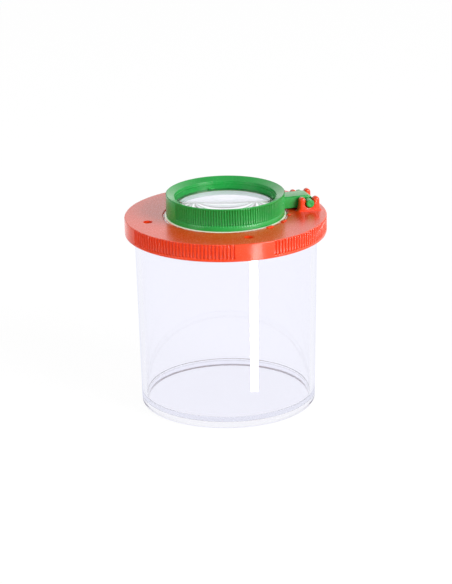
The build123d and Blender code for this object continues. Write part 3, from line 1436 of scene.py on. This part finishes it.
@dataclass
class LensFrame:
    """Ribbed ring that carries the flip lens, with its arm and cross pin.

    Attributes:
        finishes: Materials of the jar.
        hinge: Sizes of the hinge.
        bottom: Height of the ring's underside.
        height: Height of the ring.
        radius: Outer radius of the ring.
        bore: Radius of the bore above the ledge.
        lower_bore: Radius of the bore under the ledge.
        ledge_radius: Inner radius of the ledge that the lens sits on.
        ledge_height: Height of the ledge's top above the ring's underside.
        ledge_thickness: Thickness of the ledge.
        bevel_foot: Radius where the bevel round the lens ends.
        rim_land: Width of the chamfer on the rim.
        rim_drop: Height of the bevel.
        step_drop: Height of the step under the bevel.
        edge_round: Radius that rounds the ring's edges.
        patch_angle: Width of the smooth patch at the arm, in degrees.
        thumb_angle: Width of the smooth thumb patch opposite, in degrees.
        grooves: Grooves on each side.
        rib_top: Smooth land above the ribs.
        rib_bottom: Smooth band under the ribs.
        arm_thickness: Thickness of the arm, and of its rounded end.
        arm_root: How far inside the ring's outer wall the arm starts.
        arm_round: Radius that rounds the arm's side edges.
        pin_round: Radius that rounds the pin's ends.
        pin_hold: Distance from the pin's end to the row that keeps its wall straight.
    """

    finishes: Finishes
    hinge: Hinge
    bottom: float = 71.35
    height: float = 8.3
    radius: float = 21.6
    bore: float = 18.3
    lower_bore: float = 19.0
    ledge_radius: float = 17.2
    ledge_height: float = 3.4
    ledge_thickness: float = 1.0
    bevel_foot: float = 18.6
    rim_land: float = 0.15
    rim_drop: float = 1.2
    step_drop: float = 1.1
    edge_round: float = 0.12
    patch_angle: float = 38.8
    thumb_angle: float = 35.0
    grooves: int = 56
    rib_top: float = 0.4
    rib_bottom: float = 1.7
    arm_thickness: float = 4.5
    arm_root: float = 1.4
    arm_round: float = 0.5
    pin_round: float = 0.3
    pin_hold: float = 0.4

    @property
    def top(self) -> float:
        """Height of the ring's rim."""
        return self.bottom + self.height

    @property
    def ledge_top(self) -> float:
        """Height of the ledge that the flip lens sits on."""
        return self.bottom + self.ledge_height

    def ribs(self) -> Ribs:
        """Grip ribs of the ring, in one run on each side."""
        run = 180 - (self.patch_angle + self.thumb_angle) / 2
        first = self.patch_angle / 2
        return Ribs(
            repeats=1, first=first, last=first + run, pitch=run / self.grooves,
            half_width=0.38, half_floor=0.22, depth=0.5,
            low=self.bottom + self.rib_bottom, high=self.top - self.rib_top,
        )

    def outline(self) -> list[Point]:
        """Section of the ring, from its underside round the outside to the bore."""
        step_top = self.top - self.rim_drop
        step_bottom = step_top - self.step_drop
        fine = self.edge_round
        return rounded([
            Corner(self.lower_bore, self.bottom, fine),
            Corner(self.radius, self.bottom, fine),
            *self.ribs().rows(self.radius, self.top),
            Corner(self.radius, self.top, self.rim_land),
            Corner(self.radius - 2 * self.rim_land, self.top, fine),
            Corner(self.bevel_foot, step_top, fine),
            Corner(self.bevel_foot, step_bottom, fine),
            Corner(self.bore, step_bottom, fine),
            Corner(self.bore, self.ledge_top, fine),
            Corner(self.ledge_radius, self.ledge_top, fine),
            Corner(self.ledge_radius, self.ledge_top - self.ledge_thickness, fine),
            Corner(self.lower_bore, self.ledge_top - self.ledge_thickness, fine),
        ], hold=0.03)

    def build_ring(self) -> None:
        """Make the ribbed ring."""
        patches = [(0.0, math.radians(self.patch_angle)), (math.pi, math.radians(self.thumb_angle))]
        shape = bmesh.new()
        turned(shape, self.outline(), rib_turns(patches, self.grooves, patch_columns=20))
        ring = new_piece("frame_ring", shape, self.finishes.frame)
        self.ribs().cut(ring, self.radius, self.finishes.frame)
        place(ring, Body.MAGNIFIER, "lens_frame")

    def build_arm(self) -> None:
        """Make the arm, which ends in a round barrel about the pin."""
        half = self.arm_thickness / 2
        root = self.radius - self.arm_root
        pin_x, pin_z = self.hinge.pin_x, self.hinge.pin_z
        barrel = arc((pin_x, pin_z), half, -math.pi / 2, math.pi / 2, steps=24)
        outline = [(root, pin_z + half), (root, pin_z - half), *barrel]
        width = self.hinge.arm_width / 2
        arm = extruded("frame_arm", outline, [(-width, width)], self.arm_round, self.finishes.frame)
        place(arm, Body.MAGNIFIER)

    def build_pin(self) -> None:
        """Make the cross pin, whose ends have a shallow sink mark."""
        reach = self.hinge.clip_end + self.hinge.pin_overhang
        radius = self.hinge.pin_radius
        sink_mark = [(0, 0.12), (0.3, 0.1), (0.6, 0.03), (0.75, 0)]
        edge = arc((radius - self.pin_round, reach - self.pin_round), self.pin_round, math.pi / 2, 0, steps=5)
        half = [*((x, reach - depth) for x, depth in sink_mark), *edge, (radius, reach - self.pin_hold)]
        outline = [*half, *((x, -z) for x, z in reversed(half))]
        shape = bmesh.new()
        turned(shape, outline, even_turns(count=48))
        bmesh.ops.rotate(shape, verts=shape.verts, matrix=Matrix.Rotation(math.pi / 2, 3, "X"))
        bmesh.ops.translate(shape, verts=shape.verts, vec=(self.hinge.pin_x * MM, 0, self.hinge.pin_z * MM))
        place(new_piece("frame_pin", shape, self.finishes.frame), Body.MAGNIFIER)

    def build(self) -> None:
        """Make the lens frame."""
        self.build_ring()
        lugs = Lugs(
            count=4, sides=1, first=0, step=90, wall=self.bore, root=0.5, reach=1.0, width=2.4,
            base=self.ledge_top, low=0.95, high=1.5,
        )
        place(lugs.build("frame_snap_lugs", self.finishes.frame), Body.MAGNIFIER)
        self.build_arm()
        self.build_pin()


# The studio


@dataclass(frozen=True)
class Softbox:
    """Square lamp with a diffuser, which points at the jar.

    Attributes:
        name: Name of the lamp.
        azimuth: Degrees to the right of the camera, seen from the jar.
        power: Power, in watts.
        height_angle: Degrees above the floor.
        distance: Distance from the jar, in metres.
        side: Side of the lamp, in metres.
    """

    name: str
    azimuth: float
    power: float
    height_angle: float = 24
    distance: float = 1.1
    side: float = 0.6


@dataclass
class Studio:
    """Floor, lamps, world and camera.

    Attributes:
        azimuth: Direction that the camera looks from, in degrees from -Y towards +X.
        pitch: How far the camera looks down, in degrees.
        roll: How far the camera is tipped clockwise, in degrees.
        distance: Distance from the camera to the aim point.
        aim_height: Height of the aim point.
        aim_side: Distance of the aim point to the right of the jar's axis.
        focal_length: Focal length.
        sensor: Width of the sensor.
        ambient: Strength of the world's light on the jar.
        floor_size: Side of the floor, in metres.
        floor_drop: Gap under the foot, so that two faces never coincide.
    """

    azimuth: float = -16.15
    pitch: float = 19.03
    roll: float = 1.0
    distance: float = 883.1
    aim_height: float = 41.3
    aim_side: float = -0.31
    focal_length: float = 147.96
    sensor: float = 36.0
    ambient: float = 0.42
    floor_size: float = 8.0
    floor_drop: float = 0.02

    def direction(self, azimuth: float, height_angle: float) -> Vector:
        """Unit vector from the jar towards a place round it.

        Args:
            azimuth: Degrees to the right of the camera.
            height_angle: Degrees above the floor.

        Returns:
            The direction.
        """
        turn = math.radians(self.azimuth + azimuth)
        rise = math.radians(height_angle)
        return Vector((math.sin(turn) * math.cos(rise), -math.cos(turn) * math.cos(rise), math.sin(rise)))

    @property
    def room(self) -> Room:
        """The room in reflections, brightest at the back right."""
        return Room(self.direction(azimuth=120, height_angle=0))

    def build_camera(self) -> None:
        """Set the camera at the photograph's angle."""
        data = bpy.data.cameras.new("camera")
        data.lens = self.focal_length
        data.sensor_width = self.sensor
        camera = add_object("camera", data)
        right = self.direction(azimuth=90, height_angle=0)
        aim = right * self.aim_side * MM + Vector((0, 0, self.aim_height * MM))
        out = self.direction(0, self.pitch)
        look = (-out).to_track_quat("-Z", "Y").to_matrix().to_4x4()
        tip = Matrix.Rotation(math.radians(-self.roll), 4, "Z")
        camera.matrix_world = Matrix.Translation(aim + out * self.distance * MM) @ look @ tip
        bpy.context.scene.camera = camera

    def build_floor(self) -> None:
        """Lay the paper floor."""
        half = self.floor_size / 2
        mesh = bpy.data.meshes.new("floor")
        corners = [(-half, -half), (half, -half), (half, half), (-half, half)]
        mesh.from_pydata([(x, y, -self.floor_drop * MM) for x, y in corners], [], [(0, 1, 2, 3)])
        mesh.materials.append(StudioPaper(self.room).build())
        floor = add_object("floor", mesh)

    def build_low_lamp(self) -> None:
        """Lay a long lamp on the floor, which draws the bright streak down the jar and the lid.

        Each of its points lies where the jar's wall mirrors it into the streak.
        """
        wall, near, far, lift = 33.0, 31.0, 245.0, 0.1
        first, spread, steps = 14.5, 5.5, 8
        turns = [math.radians(first + spread * step / steps) for step in range(steps + 1)]
        corners = [
            (
                wall * math.sin(t) + reach * math.sin(2 * t),
                -wall * math.cos(t) - reach * math.cos(2 * t),
                lift,
            )
            for reach, order in ((near, turns), (far, turns[::-1])) for t in order
        ]
        mesh = bpy.data.meshes.new("low_lamp")
        mesh.from_pydata([Vector(corner) * MM for corner in corners], [], [range(len(corners))])
        mesh.transform(Matrix.Rotation(math.radians(self.azimuth), 4, "Z"))
        mesh.materials.append(LampGlow().build())
        lamp = add_object("low_lamp", mesh)

    def build_lamps(self) -> None:
        """Set the softboxes round the jar."""
        for box in (
            Softbox("key_softbox", azimuth=52, power=10.8), Softbox("fill_softbox", azimuth=-58, power=3.9),
        ):
            data = bpy.data.lights.new(box.name, "AREA")
            data.shape = "RECTANGLE"
            data.size = data.size_y = box.side
            data.energy = box.power
            lamp = add_object(box.name, data)
            out = self.direction(box.azimuth, box.height_angle)
            lamp.location = out * box.distance + Vector((0, 0, self.aim_height * MM))
            lamp.rotation_euler = out.to_track_quat("Z", "Y").to_euler()
            lamp.visible_camera = False
            lamp.visible_transmission = False

    def build_world(self) -> None:
        """Fill the space with even light that the eye sees as white."""
        world = bpy.data.worlds.new("white_cove")
        world.use_nodes = True
        tree = world.node_tree
        tree.nodes.clear()
        add = partial(add_node, tree)
        way = add("ShaderNodeTexCoord").outputs["Generated"]
        level = add(
            "ShaderNodeMath", {0: self.room.overhead(tree, way), 1: self.ambient}, operation="MULTIPLY"
        )
        lit, white = (
            add("ShaderNodeBackground", {"Color": linear(WHITE), "Strength": strength})
            for strength in (level, self.room.brightness(tree, way))
        )
        mixed = add("ShaderNodeMixShader", {0: seen_by_eye(tree), 1: lit, 2: white})
        add("ShaderNodeOutputWorld", {"Surface": mixed})
        bpy.context.scene.world = world

    def build(self) -> None:
        """Set up the whole studio."""
        scene = bpy.context.scene
        scene.view_settings.view_transform = "Standard"
        scene.cycles.max_bounces = 32
        scene.cycles.glossy_bounces = 20
        scene.cycles.transmission_bounces = 32
        self.build_camera()
        self.build_floor()
        self.build_low_lamp()
        self.build_lamps()
        self.build_world()
        log.info("studio is set")


def main() -> None:
    """Build the jar, its lid, the lenses, the lens frame and the studio."""
    logging.basicConfig(level=logging.INFO, format="%(name)s: %(message)s")
    finishes = Finishes.build()
    hinge = Hinge()
    Jar(finishes).build()
    lid = Lid(finishes, hinge)
    lid.build()
    Lens(
        finishes, "fixed_lens_blank", "fixed_lens", Body.LID, flange_radius=22.7, face_radius=19.0,
        flange_bottom=lid.seat_top, flange_thickness=1.1, sag=1.2, matt=(20.9, 22.1),
    ).build()
    lens_frame = LensFrame(finishes, hinge)
    lens_frame.build()
    Lens(
        finishes, "flip_lens_blank", "flip_lens", Body.MAGNIFIER, flange_radius=18.25,
        face_radius=lens_frame.ledge_radius, flange_bottom=lens_frame.ledge_top, flange_thickness=0.9,
        sag=1.3,
    ).build()
    Studio().build()


if __name__ == "__main__":
    main()
